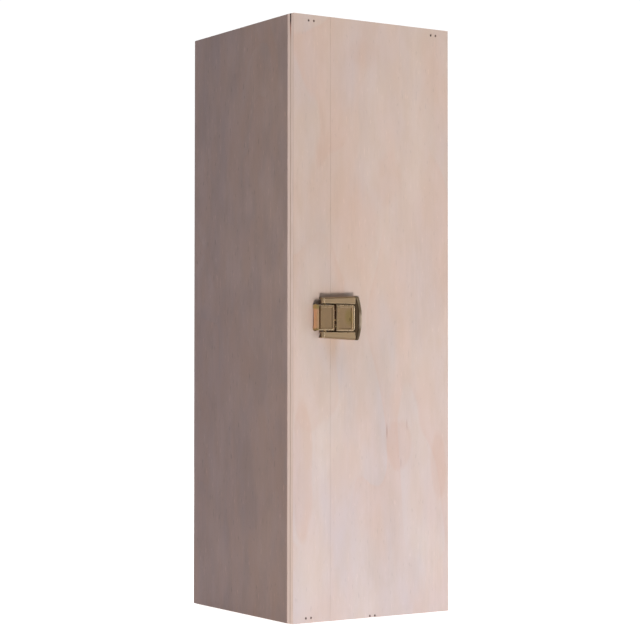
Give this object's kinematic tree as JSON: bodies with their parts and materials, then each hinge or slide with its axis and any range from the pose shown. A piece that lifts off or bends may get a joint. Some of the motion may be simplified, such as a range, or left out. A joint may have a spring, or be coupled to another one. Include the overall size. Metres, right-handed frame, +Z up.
{
  "type": "hinged wooden bottle box",
  "caption": "Upright hinged wooden box for a large wine bottle, with a plywood-faced lid, butt hinges behind and a brass toggle latch in front.",
  "frame": {"origin": "middle of the width and depth of the wooden box on its lower end face, the one that it stands on", "axes": "+Z up along the length of the standing box; -Y the front wall with the latch; -X the face of the lid; +X the face of the base; +Y the hinged back wall"},
  "size_m": [0.126, 0.1302, 0.385],
  "materials": {
    "pale_wood": "pale, slightly pink sanded wood, unvarnished",
    "end_piece_wood": "sawn pale wood, end grain at its edges",
    "plywood_panel": "sanded three-ply, mottled veneer with a darker core",
    "staple_steel": "dull wire",
    "antique_brass": "brown antique plating, worn bright along the edges",
    "coppery_brass": "brown antique plating with a coppery turned end",
    "nail_brass": "brassed nails",
    "pin_brass": "dull brass wire",
    "hinge_brass": "brassed sheet, lightly antiqued"
  },
  "bodies": {
    "base": {"base_front_wall": "pale_wood", "base_back_wall": "pale_wood", "base_top_end": "end_piece_wood", "base_bottom_end": "end_piece_wood", "base_panel": "plywood_panel", "base_staples": "staple_steel", "neck_rest": "pale_wood", "latch_plate": "antique_brass", "latch_plate_nails": "nail_brass", "lever_pin": "pin_brass", "upper_hinge_base_leaf": "hinge_brass", "upper_hinge_pin": "pin_brass", "lower_hinge_base_leaf": "hinge_brass", "lower_hinge_pin": "pin_brass", "hinge_base_nails": "nail_brass"},
    "lid": {"lid_front_strip": "pale_wood", "lid_back_strip": "pale_wood", "lid_top_end": "end_piece_wood", "lid_bottom_end": "end_piece_wood", "lid_panel": "plywood_panel", "lid_staples": "staple_steel", "keeper": "antique_brass", "keeper_nails": "nail_brass", "upper_hinge_lid_leaf": "hinge_brass", "lower_hinge_lid_leaf": "hinge_brass", "hinge_lid_nails": "nail_brass"},
    "lever": {"latch_lever": "antique_brass", "hook_pin": "pin_brass"},
    "hook": {"latch_hook": "coppery_brass"}
  },
  "joints": [
    {"name": "lid_hinge", "type": "hinge", "parent": "base", "child": "lid", "pos_m": [-0.0308, 0.0622, 0.1925], "axis": [0, 0, -1], "range_deg": [0, 180]},
    {"name": "lever_pivot", "type": "hinge", "parent": "base", "child": "lever", "pos_m": [-0.0376, -0.0639, 0.1925], "axis": [0, 0, -1], "range_deg": [0, 85]},
    {"name": "hook_pivot", "type": "hinge", "parent": "lever", "child": "hook", "pos_m": [-0.0308, -0.0652, 0.1925], "axis": [0, 0, 1], "range_deg": [0, 90]}
  ],
  "couplings": [
    {"joint": "hook_pivot", "follows": "lever_pivot", "ratio": 1.05}
  ]
}
